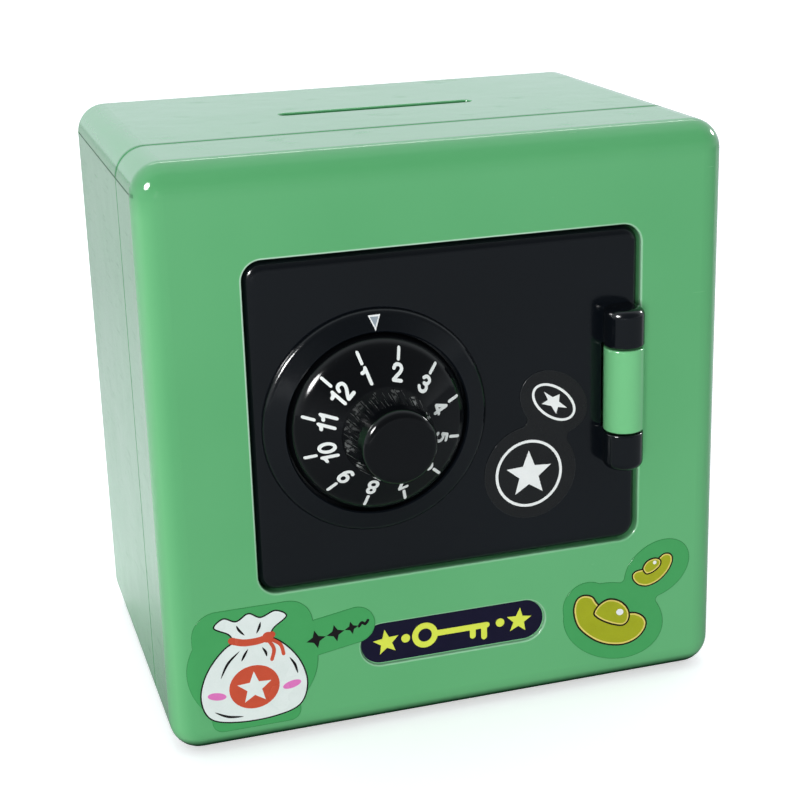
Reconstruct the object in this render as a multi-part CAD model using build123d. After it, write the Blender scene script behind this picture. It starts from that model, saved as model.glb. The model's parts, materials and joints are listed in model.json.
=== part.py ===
"""Toy safe coin bank: a moulded two-part housing with a barrel-hinged door, held shut by a dial lock.

Frame: +X to the right of the front, +Y from front to back, +Z up. The origin is the middle of the flat base.
Depths are measured in millimetres behind the flat front face, so a negative depth stands out in front of it.
"""
from build123d import *
import os

# ---- Housing ----
BODY_W, BODY_H, BODY_D = 120.0, 121.0, 82.0
COVER_D = 22.5          # how much of the depth is the front cover
CORNER_R = 6.2          # the roll of the four long corners
EDGE_R = 5.5            # the rounding between the front face and the sides
BACK_EDGE_R = 1.5
WALL = 2.4
SEAM_GAP, SEAM_CHAMFER = 0.25, 0.2      # the dark line where the two halves meet
LIP_D, LIP_T, LIP_GAP = 3.0, 1.3, 0.15
PARTING_W, PARTING_DEEP = 0.35, 0.2     # the mould's parting line along each top corner
FRONT = -BODY_D / 2     # Y of the front face

# ---- Coin slot, in the top of the rear body ----
SLOT_L, SLOT_W, SLOT_DEPTH = 43.0, 3.2, 47.0

# ---- Door opening and door ----
OPEN_W, OPEN_H, OPEN_Z, OPEN_R = 82.0, 68.4, 67.4, 4.0
OPEN_EDGE_R = 0.35
COLLAR_T, COLLAR_END = 2.0, 4.6
DOOR_GAP = 0.4
DOOR_FACE = 0.0         # the door's flat face is flush with the cover's
DOOR_T = 2.6
DOOR_EDGE_R = 2.0
DOOR_BACK = DOOR_FACE + DOOR_T
RIM_INSET, RIM_T, RIM_END = 2.5, 1.6, 6.6
STOP_W, STOP_H = 1.4, 50.0      # ledge behind the door's free edge

# ---- Hinge ----
HINGE_X, HINGE_DEPTH, HINGE_Z = 36.0, -3.2, 68.5
BARREL_R = 4.15
COVER_KNUCKLE_H, DOOR_KNUCKLE_H, KNUCKLE_GAP = 17.6, 7.9, 0.4
KNUCKLE_EDGE_R, KNUCKLE_INNER_R = 1.7, 0.4
PIN_R, PIN_RUN, PIN_PRESS = 1.5, 0.06, 0.02
NOTCH_X = 32.4          # the door is cut back to here beside the cover's knuckle

# ---- Dial ----
DIAL_X, DIAL_Z = -15.8, 67.2
RING_R, RING_INNER_R, RING_TOP, RING_SHOULDER, RING_ROLL = 23.0, 18.5, -2.5, -1.24, 1.5
SKIRT_R, SKIRT_UNDER, SKIRT_RIM, SKIRT_ROLL = 18.1, -0.25, -3.33, 4.4
GRIP_BASE_R, GRIP_BASE = 9.1, -8.0
GRIP_TOP_R, GRIP_TOP = 7.9, -14.8
CAP_R, CAP_FACE, CAP_ROLL = 7.1, -18.1, 1.7
FLUTES, FLUTE_R, FLUTE_TOP_OUT, FLUTE_FOOT_OUT = 40, 0.42, 0.16, 0.38
SHAFT_R, SHAFT_RUN = 4.42, 0.06
D_SHAFT_R, D_FLAT = 3.6, 2.6
DIAL_WASHER_R, DIAL_WASHER_T = 5.6, 0.8

# ---- Lock: three notched wheels on the dial's shaft, and the keeper that their rims catch ----
WHEEL_R, WHEEL_T, WHEEL_PITCH, WHEEL_START = 17.0, 2.0, 3.0, 7.0
DRIVE_T = 2.4
NOTCH_W, NOTCH_FLOOR_R = 7.4, 10.0
PEG_R, PEG_H, PEG_AT_R, PEG_STEP = 0.9, 0.7, 8.6, 13.0
SPACER_R, SPACER_T = 6.5, 0.9
BORE_BOSS_R, BORE_BOSS_END = 7.0, 6.2
KEEPER_T, KEEPER_TIP_X, KEEPER_W, KEEPER_BASE_W = 1.8, -29.5, 6.0, 20.0
KEEPER_SCREW_X, KEEPER_SCREW_DZ = -49.5, 6.5
CUP_R, CUP_T, CUP_END = 19.7, 1.5, 20.0
CUP_SLOT_W, CUP_SLOT_X = 8.4, -24.5
EAR_R, EAR_T, EAR_SEAT, EAR_AT_R = 3.4, 2.0, 9.0, 24.0
EAR_ANGLES = (60, 120, 240, 300)

# ---- Screws ----
BODY_SCREW_X, BODY_SCREW_Z = 49.0, (11.0, 110.0)
TOWER_R, COUNTERBORE_R, TOWER_END, TOWER_SEAT = 5.0, 3.6, 31.6, 2.4
BOSS_R, BOSS_END, PILOT_R, PILOT_DEEP = 4.0, 31.6, 1.25, 16.0
BODY_SCREW_L, BODY_HEAD_R, BODY_HEAD_H, BODY_HOLE_R = 14.0, 3.0, 2.2, 1.7
SMALL_PILOT_R, SMALL_HOLE_R, SMALL_HEAD_R, SMALL_HEAD_H = 0.95, 1.2, 1.9, 1.4
SMALL_SCREW_L, KEEPER_SCREW_L, DIAL_SCREW_L = 6.5, 5.0, 9.0
SCREW_FIT = 0.02        # a screw's core is this much smaller than its pilot hole

# ---- Labels ----
FILM_T = 0.15
PLATE_W, PLATE_H, PLATE_X, PLATE_Z, PLATE_SINK = 40.0, 8.8, -0.3, 18.2, 0.9
PLATE_GAP, PLATE_EDGE_R = 0.25, 0.3


def front_plane(depth):
    """Sketches on it have x along +X and y along +Z, and its normal faces the viewer."""
    return Plane(origin=(0, FRONT + depth, 0), x_dir=(1, 0, 0), z_dir=(0, -1, 0))


def slab(sketch, start, end):
    """A front-view outline made solid from depth start to depth end."""
    return extrude(front_plane(end) * sketch, amount=end - start)


def at(x, z):
    return Location((x, z))


def rod(x, z, radius, start, end):
    """A round bar that runs front to back."""
    return slab(at(x, z) * Circle(radius), start, end)


def block(x0, x1, start, end, z0, z1):
    """A plain box between two X values, two depths and two heights."""
    return slab(at((x0 + x1) / 2, (z0 + z1) / 2) * Rectangle(x1 - x0, z1 - z0), start, end)


def turned(points):
    """A solid of revolution about the dial's axis from (radius, depth) points."""
    plane = Plane(origin=(DIAL_X, FRONT, DIAL_Z), x_dir=(1, 0, 0), z_dir=(0, 0, 1))
    outline = plane * make_face(Polyline(*points, close=True))
    return revolve(outline, Axis((DIAL_X, FRONT, DIAL_Z), (0, 1, 0)))


def upright(x, depth, radius, z0, z1):
    """A round bar that stands along Z, for the hinge."""
    return Pos(x, FRONT + depth, z0) * extrude(Circle(radius), amount=z1 - z0)


def around_dial(radius, degrees):
    """The (x, z) of a point at this radius and angle from the dial's axis, counted from +X towards +Z."""
    spot = Vector(radius, 0).rotate(Axis.Z, degrees)
    return DIAL_X + spot.X, DIAL_Z + spot.Y


def body_outline(inset=0.0):
    radius = max(CORNER_R - inset, 1.0)
    return at(0, BODY_H / 2) * RectangleRounded(BODY_W - 2 * inset, BODY_H - 2 * inset, radius)


def opening_outline(grow=0.0):
    return at(0, OPEN_Z) * RectangleRounded(OPEN_W + 2 * grow, OPEN_H + 2 * grow, OPEN_R + grow)


def edges_at_depth(shape, depth):
    """The edges that lie flat at one depth."""
    y = FRONT + depth
    return shape.edges().filter_by_position(Axis.Y, y - 0.001, y + 0.001)


def front_edges(shape, x, z, width, height):
    """The edges in the flat front face that lie round an opening or a pocket of this size."""
    return [
        e for e in edges_at_depth(shape, 0)
        if abs(e.center().X - x) < width / 2 + 1 and abs(e.center().Z - z) < height / 2 + 1
    ]


def parting_grooves(start, end):
    """Fine grooves where the mould's halves met, on both sides at the foot of the top corner roll."""
    z = BODY_H - CORNER_R + 0.3
    return [
        block(side * BODY_W / 2 - PARTING_DEEP, side * BODY_W / 2 + PARTING_DEEP, start, end,
              z - PARTING_W / 2, z + PARTING_W / 2)
        for side in (-1, 1)
    ]


def screw(x, z, seat, length, core_r, head_r, head_h):
    """A pan-head screw driven from behind: its head stands behind the seat, its core runs forward."""
    head = rod(x, z, head_r, seat, seat + head_h)
    head = fillet(edges_at_depth(head, seat + head_h), head_h * 0.6)
    recess_w, recess_l = head_r * 0.3, head_r * 1.1
    recess = at(x, z) * (Rectangle(recess_w, recess_l) + Rectangle(recess_l, recess_w))
    core = rod(x, z, core_r, seat - length, seat)
    core = chamfer(edges_at_depth(core, seat - length), core_r * 0.6, core_r * 0.5)
    return head + core - slab(recess, seat + head_h * 0.45, seat + head_h)


# ---- Housing ----
def cover_knuckle():
    """The middle barrel of the hinge, with the arm that joins it to the edge of the opening."""
    z0, z1 = HINGE_Z - COVER_KNUCKLE_H / 2, HINGE_Z + COVER_KNUCKLE_H / 2
    barrel = upright(HINGE_X, HINGE_DEPTH, BARREL_R, z0, z1)
    barrel = fillet(barrel.edges().filter_by(GeomType.CIRCLE), KNUCKLE_INNER_R)
    edge_x = OPEN_W / 2
    arm = make_face(Polyline(
        (HINGE_X, HINGE_DEPTH - 0.6), (edge_x - 1.6, HINGE_DEPTH + 0.8), (edge_x + 0.6, 0),
        (edge_x + 1.5, WALL), (HINGE_X + 0.6, WALL), (HINGE_X - 1.0, HINGE_DEPTH + 3.0), close=True))
    arm = Pos(0, FRONT, z0 + 0.4) * extrude(arm, amount=COVER_KNUCKLE_H - 0.8)
    return barrel + arm


def front_cover():
    seam = COVER_D - SEAM_GAP / 2
    shell = slab(body_outline(), 0, seam)
    shell = fillet(edges_at_depth(shell, 0), EDGE_R)
    shell = chamfer(edges_at_depth(shell, seam), SEAM_CHAMFER)
    hollow = slab(body_outline(WALL), WALL, COVER_D + LIP_D)
    shell -= fillet(edges_at_depth(hollow, WALL), EDGE_R - WALL)
    # The lip thickens the wall inside and reaches into the rear body.
    lip_outer = WALL + LIP_GAP
    lip = slab(body_outline(lip_outer), COVER_D, COVER_D + LIP_D)
    lip += slab(body_outline(WALL - 0.1), COVER_D - 2.5, seam)
    lip += slab(body_outline(lip_outer), COVER_D - 1, COVER_D + 1)
    shell += lip - slab(body_outline(lip_outer + LIP_T), COVER_D - 3, COVER_D + LIP_D)
    shell += slab(opening_outline(COLLAR_T), WALL / 2, COLLAR_END)
    shell -= slab(opening_outline(), -1, COLLAR_END)
    stop_x = -OPEN_W / 2
    shell += block(
        stop_x - 1, stop_x + STOP_W, DOOR_BACK + 0.2, COLLAR_END, OPEN_Z - STOP_H / 2, OPEN_Z + STOP_H / 2)
    for x in (-BODY_SCREW_X, BODY_SCREW_X):
        for z in BODY_SCREW_Z:
            shell += rod(x, z, BOSS_R, WALL / 2, BOSS_END)
            shell -= rod(x, z, PILOT_R, BOSS_END - PILOT_DEEP, BOSS_END)
    for dz in (-KEEPER_SCREW_DZ, KEEPER_SCREW_DZ):
        shell += rod(KEEPER_SCREW_X, DIAL_Z + dz, 2.6, WALL / 2, COLLAR_END)
        shell -= rod(KEEPER_SCREW_X, DIAL_Z + dz, SMALL_PILOT_R, 1.2, COLLAR_END)
    shell = fillet(front_edges(shell, 0, OPEN_Z, OPEN_W, OPEN_H), OPEN_EDGE_R)
    pocket = at(PLATE_X, PLATE_Z) * SlotOverall(PLATE_W + 2 * PLATE_GAP, PLATE_H + 2 * PLATE_GAP)
    shell -= slab(pocket, -1, PLATE_SINK)
    shell = fillet(front_edges(shell, PLATE_X, PLATE_Z, PLATE_W, PLATE_H), PLATE_EDGE_R)
    shell += cover_knuckle()
    z0 = HINGE_Z - COVER_KNUCKLE_H
    shell -= upright(HINGE_X, HINGE_DEPTH, PIN_R + PIN_RUN, z0, z0 + 2 * COVER_KNUCKLE_H)
    for groove in parting_grooves(EDGE_R, COVER_D):
        shell -= groove
    return shell


def rear_body():
    seam = COVER_D + SEAM_GAP / 2
    box = slab(body_outline(), seam, BODY_D)
    box = fillet(edges_at_depth(box, BODY_D), BACK_EDGE_R)
    box = chamfer(edges_at_depth(box, seam), SEAM_CHAMFER)
    box -= slab(body_outline(WALL), COVER_D, BODY_D - WALL)
    for x in (-BODY_SCREW_X, BODY_SCREW_X):
        for z in BODY_SCREW_Z:
            box += rod(x, z, TOWER_R, TOWER_END, BODY_D - WALL / 2)
            box -= rod(x, z, COUNTERBORE_R, TOWER_END + TOWER_SEAT, BODY_D)
            box -= rod(x, z, BODY_HOLE_R, TOWER_END, BODY_D)
    slot = extrude(Plane.XY * SlotOverall(SLOT_L, SLOT_W), amount=4 * WALL)
    slot = Pos(0, FRONT + SLOT_DEPTH, BODY_H - 3 * WALL) * slot
    box -= slot
    box = fillet([
        e for e in box.edges().filter_by_position(Axis.Z, BODY_H - 0.001, BODY_H + 0.001)
        if abs(e.center().X) < SLOT_L / 2 + 1 and abs(e.center().Y - FRONT - SLOT_DEPTH) < SLOT_W
    ], 0.4)
    for groove in parting_grooves(COVER_D, BODY_D - BACK_EDGE_R):
        box -= groove
    return box


def body_screws():
    seat = TOWER_END + TOWER_SEAT
    return [
        screw(x, z, seat, BODY_SCREW_L, PILOT_R - SCREW_FIT, BODY_HEAD_R, BODY_HEAD_H)
        for x in (-BODY_SCREW_X, BODY_SCREW_X)
        for z in BODY_SCREW_Z
    ]


# ---- Door ----
def door_knuckle(inner, outer):
    """A barrel on the door from its end beside the cover's knuckle to its domed outer end."""
    z0, z1 = min(inner, outer), max(inner, outer)
    barrel = upright(HINGE_X, HINGE_DEPTH, BARREL_R, z0, z1)
    barrel = fillet(barrel.edges().filter_by_position(Axis.Z, outer - 0.01, outer + 0.01), KNUCKLE_EDGE_R)
    barrel = fillet(barrel.edges().filter_by_position(Axis.Z, inner - 0.01, inner + 0.01), KNUCKLE_INNER_R)
    neck = block(HINGE_X - 3.2, HINGE_X + 3.3, HINGE_DEPTH + 1, DOOR_FACE + 1, z0 + 0.5, z1 - 0.5)
    return barrel + neck


def dial_ring():
    """The raised ring round the dial, moulded with the door. The index mark sits on it."""
    ring = turned([
        (RING_INNER_R, DOOR_FACE + 1), (RING_INNER_R, RING_TOP + 0.3), (RING_INNER_R + 0.3, RING_TOP),
        (RING_R, RING_SHOULDER), (RING_R, DOOR_FACE + 1),
    ])
    return fillet(edges_at_depth(ring, RING_SHOULDER), RING_ROLL)


def door_panel():
    width, height = OPEN_W - 2 * DOOR_GAP, OPEN_H - 2 * DOOR_GAP
    outline = at(0, OPEN_Z) * RectangleRounded(width, height, OPEN_R - DOOR_GAP)
    panel = slab(outline, DOOR_FACE, DOOR_BACK)
    panel = fillet(edges_at_depth(panel, DOOR_FACE), DOOR_EDGE_R)
    rim = at(0, OPEN_Z) * RectangleRounded(width - 2 * RIM_INSET, height - 2 * RIM_INSET, 2.0)
    taken = 2 * RIM_INSET + 2 * RIM_T
    rim_inner = at(0, OPEN_Z) * Rectangle(width - taken, height - taken)
    panel += slab(rim, DOOR_BACK - 0.5, RIM_END) - slab(rim_inner, DOOR_BACK, RIM_END)
    panel += dial_ring()
    panel += rod(DIAL_X, DIAL_Z, BORE_BOSS_R, DOOR_BACK - 0.5, BORE_BOSS_END)
    for angle in EAR_ANGLES:
        x, z = around_dial(EAR_AT_R, angle)
        panel += rod(x, z, EAR_R - 0.4, DOOR_BACK - 0.5, EAR_SEAT)
        panel -= rod(x, z, SMALL_PILOT_R, DOOR_FACE + 1.0, EAR_SEAT)
    # The keeper reaches in through this window, which is open to the back so that the door can leave it.
    low, high = DIAL_Z - CUP_SLOT_W / 2, DIAL_Z + CUP_SLOT_W / 2
    panel -= block(-OPEN_W / 2, -OPEN_W / 2 + 6, DOOR_BACK, RIM_END, low, high)
    notch = COVER_KNUCKLE_H / 2 + KNUCKLE_GAP - 0.1
    panel -= block(NOTCH_X, OPEN_W / 2, -1, RIM_END, HINGE_Z - notch, HINGE_Z + notch)
    inner = COVER_KNUCKLE_H / 2 + KNUCKLE_GAP
    outer = inner + DOOR_KNUCKLE_H
    panel += door_knuckle(HINGE_Z + inner, HINGE_Z + outer)
    panel += door_knuckle(HINGE_Z - inner, HINGE_Z - outer)
    panel -= upright(HINGE_X, HINGE_DEPTH, PIN_R + PIN_PRESS, HINGE_Z - outer - 1, HINGE_Z + outer - 1.6)
    panel -= rod(DIAL_X, DIAL_Z, SHAFT_R + SHAFT_RUN, DOOR_FACE - 1, BORE_BOSS_END)
    return panel


def hinge_pin():
    outer = COVER_KNUCKLE_H / 2 + KNUCKLE_GAP + DOOR_KNUCKLE_H
    return upright(HINGE_X, HINGE_DEPTH, PIN_R, HINGE_Z - outer + 0.2, HINGE_Z + outer - 1.8)


# ---- Dial and lock ----
def dial_knob():
    body = turned([
        (0, CAP_FACE), (CAP_R, CAP_FACE), (GRIP_TOP_R, GRIP_TOP), (GRIP_BASE_R, GRIP_BASE),
        (SKIRT_R, SKIRT_RIM), (SKIRT_R, SKIRT_UNDER),
        (SKIRT_R - 1.9, SKIRT_UNDER), (SKIRT_R - 2.7, SKIRT_UNDER - 1.65),
        (GRIP_BASE_R - 0.6, GRIP_BASE + 2.4), (7.0, GRIP_BASE + 2.4), (7.0, SKIRT_UNDER),
        (SHAFT_R, SKIRT_UNDER), (SHAFT_R, 0), (0, 0),
    ])
    body = fillet(edges_at_depth(body, CAP_FACE), CAP_ROLL)
    body = fillet(edges_at_depth(body, SKIRT_RIM), SKIRT_ROLL)
    drive_start = WHEEL_START + 2 * WHEEL_PITCH
    body += rod(DIAL_X, DIAL_Z, SHAFT_R, -1, drive_start - 0.05)
    d_end = drive_start + DRIVE_T - 0.1
    tail = rod(DIAL_X, DIAL_Z, D_SHAFT_R, drive_start - 1, d_end)
    body += tail - block(DIAL_X + D_FLAT, DIAL_X + SHAFT_R + 1, drive_start - 0.05, d_end + 1,
                         DIAL_Z - SHAFT_R, DIAL_Z + SHAFT_R)
    body -= rod(DIAL_X, DIAL_Z, SMALL_PILOT_R, d_end - DIAL_SCREW_L, d_end)
    slope = (GRIP_TOP_R - GRIP_BASE_R) / (GRIP_TOP - GRIP_BASE)
    start, end = GRIP_TOP - 0.3, GRIP_BASE - 0.6
    for index in range(FLUTES):
        # A flute is a straight cylinder laid along the grip's sloping side. It fades out at the foot.
        degrees = index * 360 / FLUTES
        foot = around_dial(GRIP_BASE_R + slope * (end - GRIP_BASE) + FLUTE_FOOT_OUT, degrees)
        head = around_dial(GRIP_TOP_R + FLUTE_TOP_OUT, degrees)
        low = Vector(foot[0], FRONT + end, foot[1])
        high = Vector(head[0], FRONT + start, head[1])
        run = Plane(origin=low, z_dir=high - low)
        body -= run * extrude(Circle(FLUTE_R), amount=(high - low).length)
    return body


def wheel(start, thickness, bore, peg_front, peg_back):
    """A notched wheel. The notch points to -X at rest, and a peg on a face picks up the next wheel."""
    disc = rod(DIAL_X, DIAL_Z, WHEEL_R, start, start + thickness)
    disc = chamfer(disc.edges().filter_by(GeomType.CIRCLE), 0.3)
    disc -= block(DIAL_X - WHEEL_R - 1, DIAL_X - NOTCH_FLOOR_R, start - 1, start + thickness + 1,
                  DIAL_Z - NOTCH_W / 2, DIAL_Z + NOTCH_W / 2)
    disc -= bore
    if peg_front is not None:
        x, z = around_dial(PEG_AT_R, peg_front)
        disc += rod(x, z, PEG_R, start - PEG_H, start + 0.2)
    if peg_back is not None:
        x, z = around_dial(PEG_AT_R, peg_back)
        disc += rod(x, z, PEG_R, start + thickness - 0.2, start + thickness + PEG_H)
    return disc


def tumbler_wheel(number):
    """A loose wheel: number 0 is the one next to the door."""
    start = WHEEL_START + number * WHEEL_PITCH
    bore = rod(DIAL_X, DIAL_Z, SHAFT_R + SHAFT_RUN, start - 1, start + WHEEL_T + 1)
    front = None if number == 0 else PEG_STEP
    return wheel(start, WHEEL_T, bore, front, 0)


def drive_wheel():
    start = WHEEL_START + 2 * WHEEL_PITCH
    bore = rod(DIAL_X, DIAL_Z, D_SHAFT_R + 0.05, start - 1, start + DRIVE_T + 1)
    bore -= block(DIAL_X + D_FLAT + 0.05, DIAL_X + SHAFT_R, start - 2, start + DRIVE_T + 2,
                  DIAL_Z - SHAFT_R, DIAL_Z + SHAFT_R)
    return wheel(start, DRIVE_T, bore, PEG_STEP, None)


def wheel_spacers():
    gap = (WHEEL_PITCH - WHEEL_T - SPACER_T) / 2
    spacers = []
    for step in (0, 1):
        start = WHEEL_START + step * WHEEL_PITCH + WHEEL_T + gap
        disc = rod(DIAL_X, DIAL_Z, SPACER_R, start, start + SPACER_T)
        spacers.append(disc - rod(DIAL_X, DIAL_Z, SHAFT_R + SHAFT_RUN, start, start + SPACER_T))
    return spacers


def spring_washer():
    """A dished washer that presses the wheels together, so that a loose wheel stays where it was left."""
    low, high, thick = BORE_BOSS_END + 0.05, WHEEL_START - 0.1, 0.3
    bore_r = SHAFT_R + SHAFT_RUN
    return turned([(bore_r, low), (bore_r, low + thick), (SPACER_R, high), (SPACER_R, high - thick)])


def dial_washer():
    start = WHEEL_START + 2 * WHEEL_PITCH + DRIVE_T + 0.05
    end = start + DIAL_WASHER_T
    return rod(DIAL_X, DIAL_Z, DIAL_WASHER_R, start, end) - rod(DIAL_X, DIAL_Z, SMALL_HOLE_R, start, end)


def dial_screw():
    seat = WHEEL_START + 2 * WHEEL_PITCH + DRIVE_T + 0.9
    thread_r = SMALL_PILOT_R - SCREW_FIT
    return screw(DIAL_X, DIAL_Z, seat, DIAL_SCREW_L, thread_r, SMALL_HEAD_R + 0.3, SMALL_HEAD_H)


def lock_cover():
    """The cup over the wheels. Its slot lets the keeper in from the side and out at the back."""
    start = DOOR_BACK + 0.3
    cup = rod(DIAL_X, DIAL_Z, CUP_R, start, CUP_END)
    cup = fillet(edges_at_depth(cup, CUP_END), 1.2)
    for angle in EAR_ANGLES:
        x, z = around_dial(EAR_AT_R, angle)
        inner_x, inner_z = around_dial(CUP_R - 1, angle)
        ear = at(x, z) * Circle(EAR_R)
        middle = at((x + inner_x) / 2, (z + inner_z) / 2)
        web = middle * Rot(Z=angle) * Rectangle(EAR_AT_R - CUP_R + 1, 2 * EAR_R)
        cup += slab(ear + web, EAR_SEAT, EAR_SEAT + EAR_T)
    cup -= rod(DIAL_X, DIAL_Z, CUP_R - CUP_T, start - 1, CUP_END - CUP_T)
    for angle in EAR_ANGLES:
        x, z = around_dial(EAR_AT_R, angle)
        cup -= rod(x, z, SMALL_HOLE_R, EAR_SEAT - 1, EAR_SEAT + EAR_T + 1)
    cup -= block(DIAL_X - CUP_R - 1, CUP_SLOT_X, start - 1, CUP_END + 1,
                 DIAL_Z - CUP_SLOT_W / 2, DIAL_Z + CUP_SLOT_W / 2)
    return cup


def lock_cover_screws():
    made = []
    for angle in EAR_ANGLES:
        x, z = around_dial(EAR_AT_R, angle)
        seat = EAR_SEAT + EAR_T
        made.append(screw(x, z, seat, SMALL_SCREW_L, SMALL_PILOT_R - SCREW_FIT, SMALL_HEAD_R, SMALL_HEAD_H))
    return made


def latch_keeper():
    """A plate behind the edge of the opening, whose tongue lies in front of the wheels' rims."""
    base_x = -OPEN_W / 2
    base = at(base_x - 7.5, DIAL_Z) * RectangleRounded(13.0, KEEPER_BASE_W, 2.0)
    tongue = at((base_x - 3 + KEEPER_TIP_X) / 2, DIAL_Z) * Rectangle(KEEPER_TIP_X - base_x + 3, KEEPER_W)
    plate = slab(base + tongue, COLLAR_END, COLLAR_END + KEEPER_T)
    tip = plate.edges().filter_by(Axis.Z).filter_by_position(Axis.X, KEEPER_TIP_X - 0.01, KEEPER_TIP_X + 0.01)
    plate = chamfer(tip, 0.5)
    for dz in (-KEEPER_SCREW_DZ, KEEPER_SCREW_DZ):
        plate -= rod(KEEPER_SCREW_X, DIAL_Z + dz, SMALL_HOLE_R, COLLAR_END - 1, COLLAR_END + KEEPER_T + 1)
    return plate


def keeper_screws():
    seat = COLLAR_END + KEEPER_T
    thread_r = SMALL_PILOT_R - SCREW_FIT
    return [
        screw(KEEPER_SCREW_X, DIAL_Z + dz, seat, KEEPER_SCREW_L, thread_r, SMALL_HEAD_R, SMALL_HEAD_H)
        for dz in (-KEEPER_SCREW_DZ, KEEPER_SCREW_DZ)
    ]


# ---- Labels: thin films on the flat faces ----
def name_plate():
    return slab(at(PLATE_X, PLATE_Z) * SlotOverall(PLATE_W, PLATE_H), PLATE_SINK - FILM_T, PLATE_SINK)


def soften(film, x0, x1, z0, z1, radius):
    """Round the corners of a label's outline that lie within a rectangle."""
    return fillet([v for v in film.vertices() if x0 < v.X < x1 and z0 < v.Y < z1], radius)


def coin_label():
    """A film for two coins, on the door."""
    film = at(16.8, 51.6) * Circle(10.0) + at(22.0, 66.2) * Rot(Z=-38) * Ellipse(8.0, 6.1)
    return slab(soften(film, 12, 30, 58, 64, 1.6), DOOR_FACE - FILM_T, DOOR_FACE)


def ingot_label():
    """A film for two ingots, at the right below the door."""
    film = at(35.7, 14.8) * Rot(Z=-22) * Ellipse(12.0, 8.7)
    film += at(29.6, 19.2) * Circle(5.6)
    film += at(45.7, 25.4) * Rot(Z=30) * Ellipse(8.0, 6.1)
    return slab(soften(film, 36, 50, 16, 25, 1.0), -FILM_T, 0)


def bag_label():
    """A film for a money bag, at the left below the door. It follows the start of the rounded edge."""
    film = at(-43.1, 18.2) * Ellipse(13.5, 12.7)
    film += at(-42.8, 25.4) * RectangleRounded(24.8, 11.8, 5.2)
    film += at(-42.9, 9.4) * RectangleRounded(18.4, 9.6, 2.4)
    film += at(-26.5, 22.8) * Rot(Z=9) * SlotOverall(18.4, 8.0)
    skin = slab(body_outline(-FILM_T), -FILM_T, EDGE_R + 1)
    skin = fillet(edges_at_depth(skin, -FILM_T), EDGE_R + FILM_T)
    core = slab(body_outline(), 0, EDGE_R + 1)
    core = fillet(edges_at_depth(core, 0), EDGE_R)
    return slab(film, -1, EDGE_R / 2) & skin - core


PARTS = {
    "front_cover": front_cover,
    "rear_body": rear_body,
    "body_screws": body_screws,
    "latch_keeper": latch_keeper,
    "keeper_screws": keeper_screws,
    "door_panel": door_panel,
    "hinge_pin": hinge_pin,
    "lock_cover": lock_cover,
    "lock_cover_screws": lock_cover_screws,
    "dial_knob": dial_knob,
    "tumbler_wheel_front": lambda: tumbler_wheel(0),
    "tumbler_wheel_middle": lambda: tumbler_wheel(1),
    "drive_wheel": drive_wheel,
    "wheel_spacers": wheel_spacers,
    "spring_washer": spring_washer,
    "dial_washer": dial_washer,
    "dial_screw": dial_screw,
    "name_plate": name_plate,
    "coin_label": coin_label,
    "ingot_label": ingot_label,
    "bag_label": bag_label,
}


def main():
    os.makedirs("parts", exist_ok=True)
    for name, make in PARTS.items():
        made = make()
        shape = Compound(children=made) if isinstance(made, list) else made
        shape.label = name
        export_step(shape, f"parts/{name}.step")


main()
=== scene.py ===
import json
import math
import bmesh
import bpy
from mathutils import Matrix, Vector


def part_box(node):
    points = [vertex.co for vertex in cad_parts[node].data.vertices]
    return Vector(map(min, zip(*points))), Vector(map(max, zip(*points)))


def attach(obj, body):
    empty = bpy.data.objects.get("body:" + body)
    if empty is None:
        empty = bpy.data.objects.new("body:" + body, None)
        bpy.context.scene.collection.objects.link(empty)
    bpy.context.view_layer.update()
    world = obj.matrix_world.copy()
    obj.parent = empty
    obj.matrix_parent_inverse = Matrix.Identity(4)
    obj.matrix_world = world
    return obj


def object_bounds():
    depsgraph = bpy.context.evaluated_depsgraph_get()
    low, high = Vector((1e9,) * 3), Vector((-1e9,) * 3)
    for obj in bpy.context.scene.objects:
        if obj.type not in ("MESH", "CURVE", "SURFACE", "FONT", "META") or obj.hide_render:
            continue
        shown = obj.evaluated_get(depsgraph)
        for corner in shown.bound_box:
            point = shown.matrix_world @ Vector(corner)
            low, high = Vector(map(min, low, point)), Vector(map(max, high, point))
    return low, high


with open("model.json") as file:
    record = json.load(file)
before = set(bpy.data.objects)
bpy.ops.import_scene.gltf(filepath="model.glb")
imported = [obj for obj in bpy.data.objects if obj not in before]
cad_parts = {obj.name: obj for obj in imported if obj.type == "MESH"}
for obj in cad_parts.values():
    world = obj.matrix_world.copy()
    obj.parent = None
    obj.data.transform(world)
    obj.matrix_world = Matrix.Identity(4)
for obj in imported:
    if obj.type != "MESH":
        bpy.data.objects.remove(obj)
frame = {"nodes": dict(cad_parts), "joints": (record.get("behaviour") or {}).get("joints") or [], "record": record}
cad_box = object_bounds()

MM = 0.001
LABEL_SINK, DIAL_SINK = 0.02, 0.08      # how far a print's back lies inside what carries it, in millimetres
NODES = frame["nodes"]
SLOT_OF = {part["node"]: part["material_slot"] for part in frame["record"]["subparts"]}
JOINTS = {joint["name"]: joint for joint in frame["joints"]}


def srgb(r, g, b):
    """Linear colour from 0 to 255 screen values."""
    def lin(v):
        v /= 255
        return v / 12.92 if v <= 0.04045 else ((v + 0.055) / 1.055) ** 2.4
    return (lin(r), lin(g), lin(b), 1.0)


# ---------------------------------------------------------------- places, taken from the CAD nodes

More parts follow.
